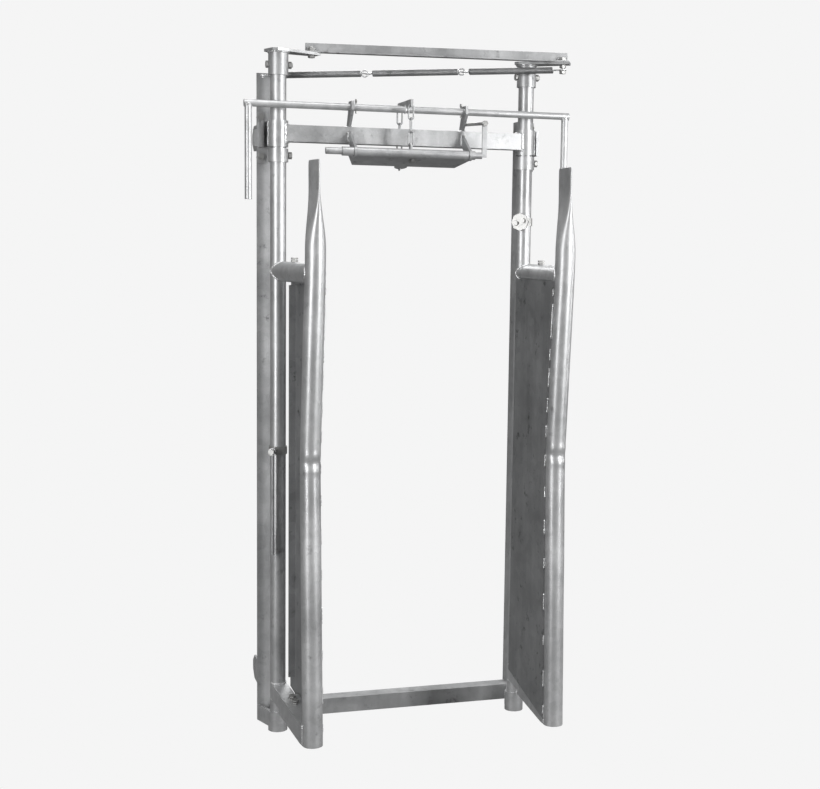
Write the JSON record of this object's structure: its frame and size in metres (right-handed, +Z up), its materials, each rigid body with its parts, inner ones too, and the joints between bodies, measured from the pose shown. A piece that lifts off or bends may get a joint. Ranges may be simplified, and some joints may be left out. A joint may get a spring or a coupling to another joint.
{
  "type": "cattle head gate",
  "caption": "Galvanised walk-through cattle head gate: two hinged leaves coupled by a top link, closing springs and a lever-lifted latch flap in a bolted frame.",
  "frame": {"origin": "on the floor, midway between the axes of the two pivot pipes", "axes": "+X across the gate to the right seen from the front, -Y the side the leaves open to, +Z up"},
  "size_m": [1.0281, 0.5399, 2.1364],
  "materials": {
    "galvanised_tube": "hot-dip galvanised, dull grey with faint spangle",
    "galvanised_plate": "hot-dip galvanised plate and section, dull grey",
    "galvanised_sheet": "hot-dip galvanised sheet, satin",
    "zinc_fastener": "zinc plated",
    "chain_zinc": "galvanised chain",
    "spring_steel": "dark spring steel"
  },
  "bodies": {
    "frame": {"left_upright": "galvanised_plate", "right_upright": "galvanised_plate", "sill": "galvanised_plate", "top_rail": "galvanised_tube", "left_bush": "galvanised_tube", "right_bush": "galvanised_tube", "left_post_bracket": "galvanised_plate", "right_post_bracket": "galvanised_plate", "post_bracket_bolts": "zinc_fastener", "left_foot_socket": "galvanised_tube", "right_foot_socket": "galvanised_tube", "left_foot_bracket": "galvanised_plate", "right_foot_bracket": "galvanised_plate", "mount_lugs": "galvanised_plate", "shaft_brackets": "galvanised_plate", "rod_lugs": "galvanised_plate", "hinge_rod": "galvanised_tube", "rod_keeper": "galvanised_plate", "keeper_bolt": "zinc_fastener"},
    "left_leaf": {"left_pivot_pipe": "galvanised_tube", "left_cap": "galvanised_plate", "left_collar": "galvanised_tube", "left_pivot_bolts": "zinc_fastener", "left_upper_arm": "galvanised_tube", "left_lower_arm": "galvanised_tube", "left_link_bolt": "zinc_fastener", "rod_clamp": "zinc_fastener"},
    "left_neck": {"left_upper_sleeve": "galvanised_tube", "left_lower_sleeve": "galvanised_tube", "left_neck_pipe": "galvanised_tube", "left_sheet": "galvanised_sheet", "left_set_bolts": "zinc_fastener"},
    "right_leaf": {"right_pivot_pipe": "galvanised_tube", "right_cap": "galvanised_plate", "right_collar": "galvanised_tube", "right_pivot_bolts": "zinc_fastener", "right_upper_arm": "galvanised_tube", "right_lower_arm": "galvanised_tube", "right_link_bolt": "zinc_fastener", "right_clamp": "zinc_fastener"},
    "right_neck": {"right_upper_sleeve": "galvanised_tube", "right_lower_sleeve": "galvanised_tube", "right_neck_pipe": "galvanised_tube", "right_sheet": "galvanised_sheet", "right_set_bolts": "zinc_fastener"},
    "link": {"link_bar": "galvanised_plate", "link_nut": "zinc_fastener"},
    "spring_line": {"springs": "spring_steel", "spring_hooks": "spring_steel"},
    "shaft": {"operating_shaft": "galvanised_tube", "left_handle": "galvanised_tube", "right_handle": "galvanised_tube", "shaft_lever": "galvanised_plate", "shaft_cotters": "zinc_fastener"},
    "flap": {"latch_tube": "galvanised_tube", "latch_plate": "galvanised_plate", "latch_bolt": "zinc_fastener"},
    "rear_chain_hang": {"rear_chain": "chain_zinc"},
    "front_chain_hang": {"front_chain": "chain_zinc"},
    "swing_rod": {"hanging_rod": "galvanised_tube"}
  },
  "joints": [
    {"name": "left_leaf_hinge", "type": "hinge", "parent": "frame", "child": "left_leaf", "pos_m": [-0.395, 0, 0], "axis": [0, 0, 1], "range_deg": [0, 82]},
    {"name": "right_leaf_hinge", "type": "hinge", "parent": "frame", "child": "right_leaf", "pos_m": [0.395, 0, 0], "axis": [0, 0, 1], "range_deg": [-92, 0]},
    {"name": "left_neck_slide", "type": "slide", "parent": "left_leaf", "child": "left_neck", "axis": [0.1392, -0.9903, 0], "range_m": [-0.02, 0.015]},
    {"name": "right_neck_slide", "type": "slide", "parent": "right_leaf", "child": "right_neck", "axis": [0.0349, -0.9994, 0], "range_m": [-0.02, 0.015]},
    {"name": "link_pivot", "type": "hinge", "parent": "left_leaf", "child": "link", "pos_m": [-0.28693, 0.03933, 2.106], "axis": [0, 0, 1], "range_deg": [-91, 0]},
    {"name": "spring_pivot", "type": "hinge", "parent": "frame", "child": "spring_line", "pos_m": [-0.43, 0.068, 2.034], "axis": [0, 0, 1], "range_deg": [-4.6, 0], "deforming": ["springs", "spring_hooks"]},
    {"name": "shaft_turn", "type": "hinge", "parent": "frame", "child": "shaft", "pos_m": [0, -0.045, 1.94], "axis": [1, 0, 0], "range_deg": [0, 30]},
    {"name": "flap_lift", "type": "hinge", "parent": "frame", "child": "flap", "pos_m": [0, -0.1, 1.805], "axis": [1, 0, 0], "range_deg": [0, 16.1]},
    {"name": "rear_chain_swing", "type": "hinge", "parent": "shaft", "child": "rear_chain_hang", "pos_m": [-0.008, 0.036, 1.952], "axis": [1, 0, 0], "range_deg": [-23.5, 0], "deforming": ["rear_chain"]},
    {"name": "front_chain_swing", "type": "hinge", "parent": "shaft", "child": "front_chain_hang", "pos_m": [-0.008, -0.1, 1.95], "axis": [1, 0, 0], "range_deg": [-30.1, 0], "deforming": ["front_chain"]},
    {"name": "hanging_rod_swing", "type": "hinge", "parent": "left_leaf", "child": "swing_rod", "pos_m": [-0.419, -0.04157, 0.894], "axis": [-0.5, -0.866, 0], "range_deg": [-90, 0]}
  ],
  "couplings": [
    {"joint": "right_leaf_hinge", "follows": "left_leaf_hinge", "ratio": -1.122},
    {"joint": "link_pivot", "follows": "left_leaf_hinge", "ratio": -1.1039},
    {"joint": "spring_pivot", "follows": "left_leaf_hinge", "ratio": -0.055},
    {"joint": "flap_lift", "follows": "shaft_turn", "ratio": 0.5333},
    {"joint": "rear_chain_swing", "follows": "shaft_turn", "ratio": -0.7777},
    {"joint": "front_chain_swing", "follows": "shaft_turn", "ratio": -1}
  ]
}
